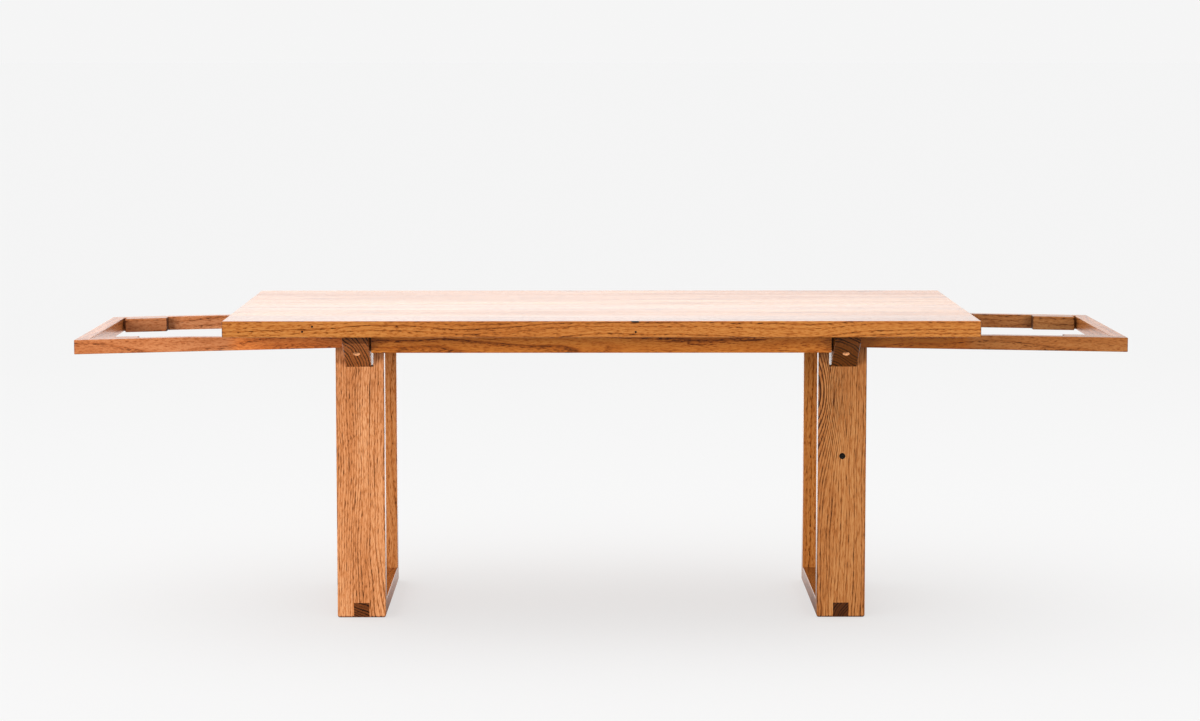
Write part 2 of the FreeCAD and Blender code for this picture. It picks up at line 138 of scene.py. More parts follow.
class Fittings(bpy.types.PropertyGroup):
    """Colours of the resin and the screws, and the split that the resin fills"""
    resin: bpy.props.FloatVectorProperty(
        name="Resin", description="Filler in the old holes", subtype="COLOR",
        size=3, min=0, max=1, default=colour("#0B0908"))
    resin_dust: bpy.props.FloatVectorProperty(
        name="Resin dust", description="Sawdust in the filler", subtype="COLOR",
        size=3, min=0, max=1, default=colour("#2E2822"))
    zinc_dull: bpy.props.FloatVectorProperty(
        name="Dull zinc", description="Dull patches of the screws' plating", subtype="COLOR",
        size=3, min=0, max=1, default=colour("#A59B80"))
    zinc_bright: bpy.props.FloatVectorProperty(
        name="Bright zinc", description="Bright patches of the screws' plating", subtype="COLOR",
        size=3, min=0, max=1, default=colour("#CFC7AE"))
    split_place: bpy.props.FloatProperty(
        name="Split place", description="How far right of the middle the top's front edge is split",
        unit="LENGTH", default=79 * MM)
    split_length: bpy.props.FloatProperty(
        name="Split length", description="Length of the filled split", unit="LENGTH",
        default=28 * MM, min=5 * MM, max=200 * MM)


class Studio(bpy.types.PropertyGroup):
    """Camera, room, lights and floor"""
    lens: bpy.props.FloatProperty(
        name="Lens", description="Focal length on a 36 mm sensor", unit="CAMERA",
        default=91.75, min=20, max=300)
    stand: bpy.props.FloatVectorProperty(
        name="Camera", description="Where the camera stands", subtype="XYZ", unit="LENGTH",
        size=3, default=(-0.0416, -7.6636, 1.4049))
    pitch: bpy.props.FloatProperty(
        name="Pitch", description="How far the camera looks down", subtype="ANGLE", default=0.10381)
    yaw: bpy.props.FloatProperty(
        name="Yaw", description="How far the camera looks to the right", subtype="ANGLE", default=0.00519)
    room: bpy.props.FloatProperty(
        name="Room", description="Brightness of the white room behind the table", default=0.915, min=0, max=5)
    overhead: bpy.props.FloatProperty(
        name="Overhead light", description="Soft light from the ceiling", default=1.6, min=0, max=20)
    left: bpy.props.FloatProperty(
        name="Left light", description="Power of the large soft light on the left", unit="POWER",
        default=1900, min=0, max=9000)
    right: bpy.props.FloatProperty(
        name="Right light", description="Power of the large soft light on the right", unit="POWER",
        default=1300, min=0, max=9000)
    floor: bpy.props.FloatVectorProperty(
        name="Floor", description="Pale paint of the floor", subtype="COLOR",
        size=3, min=0, max=1, default=(0.3, 0.3, 0.3))


@dataclass
class Knot:
    """An old knot that the saw cut through or just missed, in the plane of a leg's front face.
    All but the darkness are millimetres."""
    across: float    # from the leg's left edge to the right
    up: float        # from the leg's sole upwards
    size: float
    push: float      # how far it shifts the rings
    darkness: float  # how much darker than usual the rings are in its middle


@dataclass
class Bore:
    """A bored hole that shows bare wood, and its mirror images. All are metres."""
    x: float
    y: float
    radius: float
    painted_shade_above: float  # height above which the hole's wall is painted dark as painted shade; the bare part ends there


@dataclass
class Cut:
    """How one piece was sawn from its log, and how it took the oil."""
    grain: str                 # the axis of the table that the grain follows
    heart: tuple               # from the log's heart to the piece's middle, across the grain, in millimetres
    along: float               # from the log's end to the piece's middle, in metres
    tilt: tuple = (0.0, 0.0)   # slope of the grain, in radians
    tint: tuple = (1, 1, 1)    # the piece's own tone, as shares of the timber's colours; on legs, floor rails, bearers and frames it also holds painted light, lighter on the left and darker on the right
    figure: float = 1.0        # how plain its rings and streaks are
    pore: float = 14.0         # length of a pore line, in millimetres
    roughness: float = 0.18
    rings: float = 1.0         # its ring width, as a share of the timber's
    soak: float = 0.42         # brightness that the oil left in its end grain
    knot: Knot = None
    bore: Bore = None
    under_top_painted_light: tuple = None       # painted light on the stretch under the top: a warmer tint, lighter on the left, as shares of the rest's colour

    def lay(self, centre):
        """Turn, its matrix and the shift that lay the grain along X and the log's heart on the axis."""
        slope = (*self.tilt, 0.0) if self.grain == "Z" else (0.0, *self.tilt)
        turn = Vector(GRAIN_TURN[self.grain]) + Vector(slope)
        spin = (Matrix.Rotation(turn.z, 3, "Z") @ Matrix.Rotation(turn.y, 3, "Y")
                @ Matrix.Rotation(turn.x, 3, "X"))
        heart = Vector((self.along, self.heart[0] * MM, self.heart[1] * MM))
        return turn, spin, heart - spin @ centre


# Scales of the slow patterns along and across the grain, per metre.
WANDER_SCALE = (2.2, 9.0, 9.0)     # the rings drift over 450 mm of the log and 110 mm across it
TONE_SCALE = (1.7, 16.0, 16.0)     # the tone changes over 590 mm and 60 mm
STREAK_SCALE = (8.0, 170.0, 170.0)  # gum streaks are 125 mm long and 6 mm wide
WANDER_REACH = 40 * MM             # twice the furthest that a ring drifts
RING_FRAY = 0.5                    # how far pore lines fray a ring, as a share of its width
# Late wood within one ring: pale at first, then slowly darker up to its outer edge.
RING_PROFILE = ((0.0, 0.25), (0.1, 0.0), (0.55, 0.12), (0.84, 1.0), (0.93, 0.9), (1.0, 0.25))
# How far each pattern moves the colour of the long faces from pale to pore.
TONE_DEPTH = 0.24
RING_DEPTH = 0.28
STREAK_DEPTH = 0.3
PORE_DEPTH = 0.4
PORE_CROWDING = 0.65
# How far each pattern darkens the ends.
END_RING_DEPTH = 1.3
END_PORE_DEPTH = 0.5
# Roughness that open pores and end grain add to the rubbed face.
PORE_DULLNESS = 0.06
END_DULLNESS = 0.2
# Height of the late wood and depth of the pores, as shares of the relief.
RING_RISE = 0.3
PORE_SINK = 0.7
# Oil starts from 1.47 and epoxy from 1.5; both are matched to the dull shine of worn and sanded faces.
OIL_IOR = 1.32
RESIN_IOR = 1.2


def bent_log(tree, board):
    """The board's coordinates, bent as the rings wander along the log."""
    slow = add_node(tree, "ShaderNodeMapping", {"Vector": board, "Scale": WANDER_SCALE})
    wander = add_node(tree, "ShaderNodeTexNoise", {"Vector": slow, "Scale": 1.0, "Detail": 2.0})
    drift = add_node(tree, "ShaderNodeVectorMath", {
        0: wander.outputs["Color"], 1: (0.5, 0.5, 0.5)}, operation="SUBTRACT")
    return add_node(tree, "ShaderNodeVectorMath", {
        0: drift, 1: (0.0, WANDER_REACH, WANDER_REACH), 2: board}, operation="MULTIPLY_ADD")


def knot_swell(tree, board, middle, size):
    """How near a point is to a knot: one in its middle, fading over its size, and further along the grain."""
    stretch = 2.5
    off = add_node(tree, "ShaderNodeVectorMath", {0: board, 1: middle}, operation="SUBTRACT")
    squat = add_node(tree, "ShaderNodeVectorMath", {
        0: off, 1: (1 / (stretch * size), 1 / size, 1 / size)}, operation="MULTIPLY")
    apart = add_node(tree, "ShaderNodeVectorMath", {0: squat, 1: squat}, operation="DOT_PRODUCT")
    fall = add_node(tree, "ShaderNodeMath", {0: apart.outputs["Value"], 1: -1.0}, operation="MULTIPLY")
    return add_node(tree, "ShaderNodeMath", {0: fall}, operation="EXPONENT")


def pore_lines(tree, bent, length, width):
    """Short dashes along the grain, and the pores among them."""
    fine = add_node(tree, "ShaderNodeMapping", {
        "Vector": bent, "Scale": (1 / length, 1 / width, 1 / width)})
    dashes = add_node(tree, "ShaderNodeTexNoise", {
        "Vector": fine, "Scale": 1.0, "Detail": 3.0, "Roughness": 0.6})
    pores = add_node(tree, "ShaderNodeMapRange", {
        "Value": dashes.outputs[0], "From Min": 0.48, "From Max": 0.66})
    return dashes, pores


def growth_rings(tree, radius, dashes, width):
    """The late wood of every ring, frayed by the pore lines, and how dark each year grew."""
    frayed = add_node(tree, "ShaderNodeMath", {
        0: dashes.outputs[0], 1: RING_FRAY * width, 2: radius}, operation="MULTIPLY_ADD")
    count = add_node(tree, "ShaderNodeMath", {0: frayed, 1: 1 / width}, operation="MULTIPLY")
    part = add_node(tree, "ShaderNodeMath", {0: count}, operation="FRACT")
    late = add_node(tree, "ShaderNodeValToRGB", {"Fac": part})
    set_ramp(late, [(position, (grey, grey, grey)) for position, grey in RING_PROFILE])
    weather = add_node(tree, "ShaderNodeTexNoise", {
        "W": count, "Scale": 0.7, "Detail": 2.0}, noise_dimensions="1D")
    years = add_node(tree, "ShaderNodeMapRange", {
        "Value": weather.outputs[0], "From Min": 0.35, "From Max": 0.65, "To Min": 0.15})
    return late, years


def broad_tone(tree, board):
    """Slow change of tone over the board, from 0 to 1."""
    broad = add_node(tree, "ShaderNodeMapping", {"Vector": board, "Scale": TONE_SCALE})
    cloud = add_node(tree, "ShaderNodeTexNoise", {"Vector": broad, "Scale": 1.0, "Detail": 3.0})
    return add_node(tree, "ShaderNodeMapRange", {
        "Value": cloud.outputs[0], "From Min": 0.32, "From Max": 0.68})


def side_grain(tree, bent, tone, ring, pores, figure, shades):
    """Colour of the long faces: tone, rings, pores that crowd in the dark part of a ring, and gum streaks."""
    long = add_node(tree, "ShaderNodeMapping", {"Vector": bent, "Scale": STREAK_SCALE})
    veins = add_node(tree, "ShaderNodeTexNoise", {"Vector": long, "Scale": 1.0, "Detail": 1.0})
    streak = add_node(tree, "ShaderNodeMapRange", {
        "Value": veins.outputs[0], "From Min": 0.68, "From Max": 0.78})
    toned = add_node(tree, "ShaderNodeMath", {0: tone, 1: TONE_DEPTH}, operation="MULTIPLY")
    ringed = add_node(tree, "ShaderNodeMath", {
        0: ring, 1: RING_DEPTH * figure, 2: toned}, operation="MULTIPLY_ADD")
    crowd = add_node(tree, "ShaderNodeMath", {
        0: ring, 1: PORE_CROWDING, 2: PORE_DEPTH}, operation="MULTIPLY_ADD")
    pored = add_node(tree, "ShaderNodeMath", {0: pores, 1: crowd, 2: ringed}, operation="MULTIPLY_ADD")
    shade = add_node(tree, "ShaderNodeMath", {
        0: streak, 1: STREAK_DEPTH * figure, 2: pored}, operation="MULTIPLY_ADD")
    wood = add_node(tree, "ShaderNodeValToRGB", {"Fac": shade})
    set_ramp(wood, list(zip((0.0, 0.3, 0.65, 1.0), shades)))
    return wood


def end_grain(tree, ring, pores, toward, soak, shades):
    """Colour of the ends, which drank more oil the squarer they were cut, and whose rings are plainer."""
    speckle = add_node(tree, "ShaderNodeMath", {0: pores, 1: END_PORE_DEPTH}, operation="MULTIPLY")
    shade = add_node(tree, "ShaderNodeMath", {
        0: ring, 1: END_RING_DEPTH, 2: speckle}, operation="MULTIPLY_ADD")
    soaked = add_node(tree, "ShaderNodeValToRGB", {"Fac": shade})
    set_ramp(soaked, list(zip((0.12, 0.6), shades)))
    drank = add_node(tree, "ShaderNodeMapRange", {
        "Value": toward, "From Min": 0.55, "From Max": 0.95, "To Min": 1.0, "To Max": soak})
    return add_node(tree, "ShaderNodeVectorMath", {0: soaked, "Scale": drank}, operation="SCALE")


def paint_light_under_top(tree, place, surface, tint):
    """The stretch under the top gets painted light: a warmer tint, lighter on the left, where the top casts
    its shade.
    """
    outward = add_node(tree, "ShaderNodeVectorMath", {0: place.outputs["Object"]}, operation="ABSOLUTE")
    distance = add_node(tree, "ShaderNodeSeparateXYZ", {"Vector": outward})
    top_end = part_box("top_board_1")[1].x
    fade_start = top_end - 25 * MM
    fade_end = top_end + 5 * MM
    painted_light_share = add_node(tree, "ShaderNodeMapRange", {
        "Value": distance.outputs["X"], "From Min": fade_start, "From Max": fade_end,
        "To Min": 1.0, "To Max": 0.0})
    mix = add_node(tree, "ShaderNodeMix", {
        "Factor": painted_light_share, 6: surface, 7: (*tint, 1)}, data_type="RGBA", blend_type="MULTIPLY")
    return mix.outputs[2]


def bare_bores(tree, place, surface, bore, finish):
    """Bare wood shows at the mouth of the bored holes; further up, the wall is painted in the pore colour as
    painted shade inside the hole.
    """
    fade_end = bore.painted_shade_above + 4 * MM
    mirrored = add_node(tree, "ShaderNodeVectorMath", {0: place.outputs["Object"]}, operation="ABSOLUTE")
    off_axis = add_node(tree, "ShaderNodeVectorMath", {
        0: mirrored, 1: (bore.x, bore.y, 0)}, operation="SUBTRACT")
    level = add_node(tree, "ShaderNodeVectorMath", {0: off_axis, 1: (1, 1, 0)}, operation="MULTIPLY")
    reach = add_node(tree, "ShaderNodeVectorMath", {0: level}, operation="LENGTH")
    inside = add_node(tree, "ShaderNodeMath", {
        0: reach.outputs["Value"], 1: bore.radius}, operation="LESS_THAN")
    height = add_node(tree, "ShaderNodeSeparateXYZ", {"Vector": place.outputs["Object"]})
    # Painted shade: the wall turns to the pore colour above this height.
    painted_bore_shade = add_node(tree, "ShaderNodeMapRange", {
        "Value": height.outputs["Z"], "From Min": bore.painted_shade_above, "From Max": fade_end})
    wall = add_node(tree, "ShaderNodeMix", {
        "Factor": painted_bore_shade, 6: (*finish.bare, 1), 7: (*finish.pore, 1)}, data_type="RGBA")
    mix = add_node(tree, "ShaderNodeMix", {
        "Factor": inside, 6: surface, 7: wall.outputs[2]}, data_type="RGBA")
    return mix.outputs[2]


def oiled_hardwood(node, cut):
    """Reclaimed eucalypt hardwood, planed and oiled: orange-brown with clear growth rings, short dark
    pore lines along the grain, darker ends where the oil soaked in, and a satin sheen at low angles.
    Rings of 4 mm and pores of 0.3 mm are drawn two and six times as wide, so that they show in the render."""
    finish = bpy.context.scene.timber_finish
    material, tree = new_material(f"oiled_hardwood_{node}")
    low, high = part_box(node)
    turn, spin, shift = cut.lay((low + high) / 2)
    pale, warm, dark, pore, end_pale, end_dark = (
        [part * share for part, share in zip(shade, cut.tint)]
        for shade in (finish.pale, finish.warm, finish.ring, finish.pore, finish.end_pale, finish.end_dark))

    place = add_node(tree, "ShaderNodeTexCoord")
    board = add_node(tree, "ShaderNodeMapping", {
        "Vector": place.outputs["Object"], "Location": shift, "Rotation": turn})
    bent = bent_log(tree, board)
    across = add_node(tree, "ShaderNodeVectorMath", {0: bent, 1: (0.0, 1.0, 1.0)}, operation="MULTIPLY")
    radius = add_node(tree, "ShaderNodeVectorMath", {0: across}, operation="LENGTH").outputs["Value"]
    if cut.knot:
        # The rings are pushed aside round the knot.
        middle = Vector((low.x + cut.knot.across * MM, low.y, low.z + cut.knot.up * MM))
        swell = knot_swell(tree, board, spin @ middle + shift, cut.knot.size * MM)
        radius = add_node(tree, "ShaderNodeMath", {
            0: swell, 1: cut.knot.push * MM, 2: radius}, operation="MULTIPLY_ADD")
    dashes, pores = pore_lines(tree, bent, cut.pore * MM, finish.pore_width)
    late, years = growth_rings(tree, radius, dashes, finish.ring_width * cut.rings)
    if cut.knot:
        # They are darkest there, too.
        years = add_node(tree, "ShaderNodeMath", {
            0: swell, 1: cut.knot.darkness, 2: years}, operation="MULTIPLY_ADD")
    ring = add_node(tree, "ShaderNodeMath", {0: late, 1: years}, operation="MULTIPLY")
    tone = broad_tone(tree, board)
    wood = side_grain(tree, bent, tone, ring, pores, cut.figure, (pale, warm, dark, pore))

    # End grain faces the way the grain runs.
    facing = add_node(tree, "ShaderNodeVectorMath", {
        0: place.outputs["Normal"], 1: GRAIN_AXIS[cut.grain]}, operation="DOT_PRODUCT")
    toward = add_node(tree, "ShaderNodeMath", {0: facing.outputs["Value"]}, operation="ABSOLUTE")
    end = add_node(tree, "ShaderNodeMapRange", {
        "Value": toward, "From Min": 0.2, "From Max": 0.5}, interpolation_type="SMOOTHSTEP")
    deep_oil = end_grain(tree, ring, pores, toward, cut.soak, (end_pale, end_dark))
    faces = add_node(tree, "ShaderNodeMix", {"Factor": end, 6: wood, 7: deep_oil}, data_type="RGBA")
    surface = faces.outputs[2]
    # Painted light on the stretch that the top shades.
    if cut.under_top_painted_light:
        surface = paint_light_under_top(tree, place, surface, cut.under_top_painted_light)
    if cut.bore:
        surface = bare_bores(tree, place, surface, cut.bore, finish)

    # Open pores and end grain are duller than the rubbed face, and the late wood stands a little proud.
    satin = add_node(tree, "ShaderNodeMapRange", {
        "Value": tone, "To Min": cut.roughness - 0.015, "To Max": cut.roughness + 0.02})
    gloss = add_node(tree, "ShaderNodeMath", {
        0: pores, 1: PORE_DULLNESS, 2: satin}, operation="MULTIPLY_ADD")
    dull = add_node(tree, "ShaderNodeMath", {0: end, 1: END_DULLNESS, 2: gloss}, operation="MULTIPLY_ADD")
    depth = add_node(tree, "ShaderNodeMath", {0: pores, 1: -PORE_SINK, 2: 1.0}, operation="MULTIPLY_ADD")
    relief = add_node(tree, "ShaderNodeMath", {0: ring, 1: RING_RISE, 2: depth}, operation="MULTIPLY_ADD")
    bump = add_node(tree, "ShaderNodeBump", {"Strength": 0.1, "Distance": 0.3 * MM, "Height": relief})
    shader = add_node(tree, "ShaderNodeBsdfPrincipled", {
        "Base Color": surface, "Roughness": dull, "Normal": bump, "IOR": OIL_IOR})
    add_node(tree, "ShaderNodeOutputMaterial", {"Surface": shader})
    return material


def black_resin():
    """Hard epoxy filler, poured and sanded: near black, with dusty specks of sawdust and a dull gloss."""
    fittings = bpy.context.scene.fittings
    material, tree = new_material("black_resin")
    place = add_node(tree, "ShaderNodeTexCoord")
    dust = add_node(tree, "ShaderNodeTexNoise", {
        "Vector": place.outputs["Object"], "Scale": 1 / (1.6 * MM), "Detail": 3.0})
    tint = add_node(tree, "ShaderNodeValToRGB", {"Fac": dust.outputs[0]})
    set_ramp(tint, [(0.45, fittings.resin), (0.75, fittings.resin_dust)])
    gloss = add_node(tree, "ShaderNodeMapRange", {"Value": dust.outputs[0], "To Min": 0.5, "To Max": 0.85})
    bump = add_node(tree, "ShaderNodeBump", {
        "Strength": 0.3, "Distance": 0.2 * MM, "Height": dust.outputs[0]})
    shader = add_node(tree, "ShaderNodeBsdfPrincipled", {
        "Base Color": tint, "Roughness": gloss, "Normal": bump, "IOR": RESIN_IOR})
    add_node(tree, "ShaderNodeOutputMaterial", {"Surface": shader})
    return material


def zinc_plated_steel():
    """Steel screw with a yellowish zinc plating: a soft metal shine with cloudy patches from the bath."""
    fittings = bpy.context.scene.fittings
    material, tree = new_material("zinc_plated_steel")
    place = add_node(tree, "ShaderNodeTexCoord")
    cloud = add_node(tree, "ShaderNodeTexNoise", {
        "Vector": place.outputs["Object"], "Scale": 1 / (4 * MM), "Detail": 3.0})
    tint = add_node(tree, "ShaderNodeValToRGB", {"Fac": cloud.outputs[0]})
    set_ramp(tint, [(0.3, fittings.zinc_dull), (0.7, fittings.zinc_bright)])
    gloss = add_node(tree, "ShaderNodeMapRange", {"Value": cloud.outputs[0], "To Min": 0.25, "To Max": 0.5})
    shader = add_node(tree, "ShaderNodeBsdfPrincipled", {
        "Base Color": tint, "Roughness": gloss, "Metallic": 1.0})
    add_node(tree, "ShaderNodeOutputMaterial", {"Surface": shader})
    return material


TOP_CUTS = {
    "top_board_1": Cut("X", (30, 95), 1.3, (0.012, 0.006), (0.68, 0.61, 0.39),
                       figure=1.1, roughness=0.17),
    "top_board_2": Cut("X", (-20, 80), 5.1, (-0.016, 0.004), (0.95, 0.95, 0.63),
                       figure=0.8, pore=16, roughness=0.19),
    "top_board_3": Cut("X", (60, 70), 9.7, (0.010, -0.012), (0.9, 0.86, 0.54),
                       figure=0.8, pore=16, roughness=0.17),
    "top_board_4": Cut("X", (-140, 50), 13.2, (0.004, 0.006), (1.0, 1.02, 0.7),
                       figure=0.8, pore=16, roughness=0.19),
    "top_board_5": Cut("X", (15, 110), 17.9, (0.018, 0.003), (0.9, 0.84, 0.52),
                       figure=0.8, pore=16, roughness=0.2),
    "top_board_6": Cut("X", (-45, 85), 21.4, (-0.012, -0.006), (0.9, 0.82, 0.5),
                       figure=0.8, pore=16, roughness=0.215),
}
# Their tints hold painted light as well as tone: the left pieces are lighter, the left front leg bluer as
# painted sheen, and the right pieces darker as painted shade.
LEG_CUTS = {
    "left_front_leg": Cut("Z", (60, 150), 31.0, (0.006, -0.015), (0.98, 1.06, 1.37), figure=1.5,
                          pore=18, rings=0.72, knot=Knot(126.5, -50, size=60, push=30, darkness=0.4)),
    "right_front_leg": Cut("Z", (45, -110), 35.0, (0.0, -0.02), (0.675, 0.69, 0.67), figure=1.5,
                           pore=26, rings=0.8, knot=Knot(6.5, 550, size=50, push=-45, darkness=2.0)),
    "left_rear_leg": Cut("Z", (-70, 120), 39.0, (0.004, 0.004), (0.76, 0.76, 0.78), figure=0.95),
    "right_rear_leg": Cut("Z", (-50, -130), 43.0, (0.004, -0.01), (0.62, 0.565, 0.42), figure=1.0),
    "left_floor_rail": Cut("Y", (-45, 90), 47.0, (0.01, 0.0), (0.7, 0.55, 0.37), rings=0.75, soak=0.39),
    "right_floor_rail": Cut("Y", (60, 35), 51.0, (0.0, 0.01), (0.48, 0.39, 0.28), rings=0.75, soak=0.33),
}
# The right bearer's tint is darker partly as painted shade, and the left's lighter as painted light.
BEARER_CUTS = {
    "left_bearer": Cut("Y", (-80, 35), 55.0, tint=(0.92, 0.82, 0.66), rings=0.75),
    "right_bearer": Cut("Y", (-45, 95), 59.0, tint=(0.38, 0.32, 0.16), rings=0.75, soak=0.75),
}
APRON_TINT = (0.78, 0.64, 0.31)
APRON_CUTS = {
    "front_apron": Cut("X", (70, 12), 64.7, (0.01, 0.02), APRON_TINT, figure=2.0),
    "rear_apron": Cut("X", (-70, -18), 67.0, (0.01, -0.015), APRON_TINT, figure=2.0),
}
# Runners and draw frames are cut one after the other from the rest of the log.
RUNNERS_ALONG = 71.0
FRAMES_ALONG = 91.0
PIECE_STEP = 4.0
RUNNER_HEART = (40, 60)
FRAME_PIECES = (
    ("front_rail", "X", (65, 20)), ("rear_rail", "X", (-50, 40)),
    ("end_rail", "Y", (30, 60)), ("stop_rail", "Y", (-45, 35)),
    ("front_block", "X", (55, 30)), ("rear_block", "X", (-38, 44)),
    ("dowels", "Y", (20, 20)),
)
# A frame's hidden pieces have the tone of its front rail.
# Besides tone, these tints hold painted light: the left frame lighter and bluer as painted sheen, the right
# frame darker as painted shade.
FRAME_TINTS_WITH_PAINTED_LIGHT = {
    "left": {"front_rail": (0.77, 0.68, 0.77), "rear_rail": (0.94, 0.88, 1.1),
             "rear_block": (0.75, 0.69, 0.84), "end_rail": (0.9, 0.8, 0.82)},
    "right": {"front_rail": (0.54, 0.51, 0.44), "rear_rail": (0.63, 0.58, 0.53),
              "rear_block": (0.67, 0.7, 0.7), "end_rail": (0.8, 0.74, 0.65)},
}
# Painted light on the front rails under the top: warmer, and lighter on the left, as shares of their colour.
UNDER_TOP_PAINTED_LIGHT = {"left": (1.35, 1.18, 0.78), "right": (1.0, 0.79, 0.44)}


def dress(node, cut):
    """Gives one CAD node its own board of oiled hardwood."""
    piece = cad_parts[node]
    piece.data.materials.clear()
    piece.data.materials.append(oiled_hardwood(node, cut))


def clear_selection():
    """Nothing is selected, so that the next operator acts on one new shape alone."""
    if bpy.context.mode != "OBJECT":
        bpy.ops.object.mode_set(mode="OBJECT")
    bpy.ops.object.select_all(action="DESELECT")


def take_up(piece):
    """Only this piece is selected and active."""
    clear_selection()
    piece.select_set(True)
    bpy.context.view_layer.objects.active = piece


def pick(piece, kind, test):
    """Opens the piece in edit mode with only those faces or edges selected whose place passes the test."""
    if bpy.context.mode != "OBJECT":
        bpy.ops.object.mode_set(mode="OBJECT")
    bpy.context.tool_settings.mesh_select_mode = (False, kind == "edges", kind == "faces")
    mesh = piece.data
    for parts in (mesh.vertices, mesh.edges, mesh.polygons):
        for item in parts:
            item.select = False
    if kind == "faces":
        for face in mesh.polygons:
            face.select = test(face.center, face.normal)
    else:
        for edge in mesh.edges:
            ends = [mesh.vertices[i].co for i in edge.vertices]
            edge.select = test(*ends)
    bpy.ops.object.mode_set(mode="EDIT")


def place_in_mesh():
    """Puts the active piece's place, turn and scale into its mesh."""
    bpy.ops.object.transform_apply(location=True, rotation=True, scale=True)


def settle(piece, name, body, material):
    """Leaves edit mode, puts the piece's place into its mesh, and gives it its body and material."""
    take_up(piece)
    place_in_mesh()
    bpy.ops.object.shade_smooth_by_angle(angle=math.radians(35))
    piece.name = piece.data.name = name
    piece.data.materials.clear()
    piece.data.materials.append(material)
    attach(piece, body)
    return piece


def join(pieces):
    """Makes one piece of several."""
    take_up(pieces[0])
    for piece in pieces[1:]:
        piece.select_set(True)
    if len(pieces) > 1:
        bpy.ops.object.join()
    return pieces[0]


def corners(points):
    """Lowest and highest corner of a solid, to 0.1 mm, because round solids come with small flats."""
    low = Vector(round(min(point[axis] for point in points), 4) for axis in range(3))
    high = Vector(round(max(point[axis] for point in points), 4) for axis in range(3))
    return low, high


def solids(node):
    """The corner points of each separate solid in a CAD node, from left to right and front to back."""
    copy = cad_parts[node].copy()
    copy.data = copy.data.copy()
    bpy.context.scene.collection.objects.link(copy)
    take_up(copy)
    bpy.ops.object.mode_set(mode="EDIT")
    bpy.ops.mesh.select_all(action="SELECT")
    bpy.ops.mesh.remove_doubles(threshold=SAME_POINT)
    bpy.ops.mesh.separate(type="LOOSE")
    bpy.ops.object.mode_set(mode="OBJECT")
    found = []
    for part in list(bpy.context.selected_objects):
        found.append([vertex.co.copy() for vertex in part.data.vertices])
        bpy.data.meshes.remove(part.data)
    return sorted(found, key=lambda points: corners(points)[0].to_tuple())


def cut_recess(screw, turn, head, thick):
    """Cuts one slot of the cross recess into the head's face; it tapers inwards."""
    slot_width = 0.22 * head
    taper = 0.55
    clear_selection()
    bpy.ops.mesh.primitive_cube_add(size=1, rotation=(0, 0, turn))
    slot = bpy.context.object
    slot.scale = (slot_width, head, thick)
    place_in_mesh()
    pick(slot, "faces", lambda centre, normal: normal.z > 0.9)
    bpy.ops.transform.resize(value=(taper, taper, 1), center_override=(0, 0, 0))
    take_up(screw)
    recess = screw.modifiers.new("recess", "BOOLEAN")
    recess.operation = "DIFFERENCE"
    recess.solver = "EXACT"
    recess.object = slot
    bpy.ops.object.modifier_apply(modifier="recess")
    bpy.data.objects.remove(slot)


def wood_screw(head, thick, shank, length):
    """A pan head wood screw that stands head down on the origin, with a cross recess and a threaded shank."""
    dome = 0.45 * thick
    core = 0.74    # radius between the threads, as a share of the shank's
    tip = 0.08     # radius of the tip, as a share of the core's
    pitch = 0.9 * shank
    turns = int((length - thick - 2 * shank) / pitch)
    clear_selection()
    bpy.ops.mesh.primitive_cylinder_add(vertices=32, radius=head, depth=thick, location=(0, 0, thick / 2))
    screw = bpy.context.object
    place_in_mesh()
    pick(screw, "edges", lambda start, end: max(start.z, end.z) < SAME_POINT)
    bpy.ops.mesh.bevel(offset=dome, segments=4, affect="EDGES")
    pick(screw, "faces", lambda centre, normal: normal.z > 0.9)
    bpy.ops.mesh.inset(thickness=head - core * shank, depth=0)
    for _ in range(turns):
        for grow in (1 / core, core):
            bpy.ops.mesh.extrude_region_move(TRANSFORM_OT_translate={"value": (0, 0, pitch / 2)})
            bpy.ops.transform.resize(value=(grow, grow, 1), center_override=(0, 0, 0))
    bpy.ops.mesh.extrude_region_move(
        TRANSFORM_OT_translate={"value": (0, 0, length - thick - turns * pitch)})
    bpy.ops.transform.resize(value=(tip, tip, 1), center_override=(0, 0, 0))
    bpy.ops.object.mode_set(mode="OBJECT")
    for turn in (0, math.pi / 2):
        cut_recess(screw, turn, head, thick)
    return screw


def drive_screws(node, steel):
    """Models a CAD node's screw in full, copies it to every place, and lets the set stand for the node."""
    plain = solids(node)
    low, high = corners(plain[0])
    axis = (low + high) / 2
    above_seat = [point.z for point in plain[0] if point.z > low.z + MM]
    at_tip = [point for point in plain[0] if point.z > high.z - MM]
    head = (high.x - low.x) / 2
    thick = min(above_seat) - low.z
    shank = max(math.hypot(point.x - axis.x, point.y - axis.y) for point in at_tip)
    pattern = wood_screw(head, thick, shank, high.z - low.z)
    copies = []
    for points in plain:
        low, high = corners(points)
        copy = pattern.copy()
        copy.data = pattern.data.copy()
        copy.location = ((low.x + high.x) / 2, (low.y + high.y) / 2, low.z)
        # Each screw came to rest at an angle of its own.
        copy.rotation_euler.z = 17 * (copy.location.x + 3 * copy.location.y)
        bpy.context.scene.collection.objects.link(copy)
        copies.append(copy)
    bpy.data.objects.remove(pattern)
    bpy.context.view_layer.update()
    name = node.replace("_screws", "_screw_set")
    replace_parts(settle(join(copies), name, "table", steel), node)


# Rings of a poured face, from its rim inwards: width and rise as shares of the hole's radius.
POURED_RINGS = ((0.12, 0.0), (0.2, -0.1), (0.3, -0.04), (0.2, 0.05))


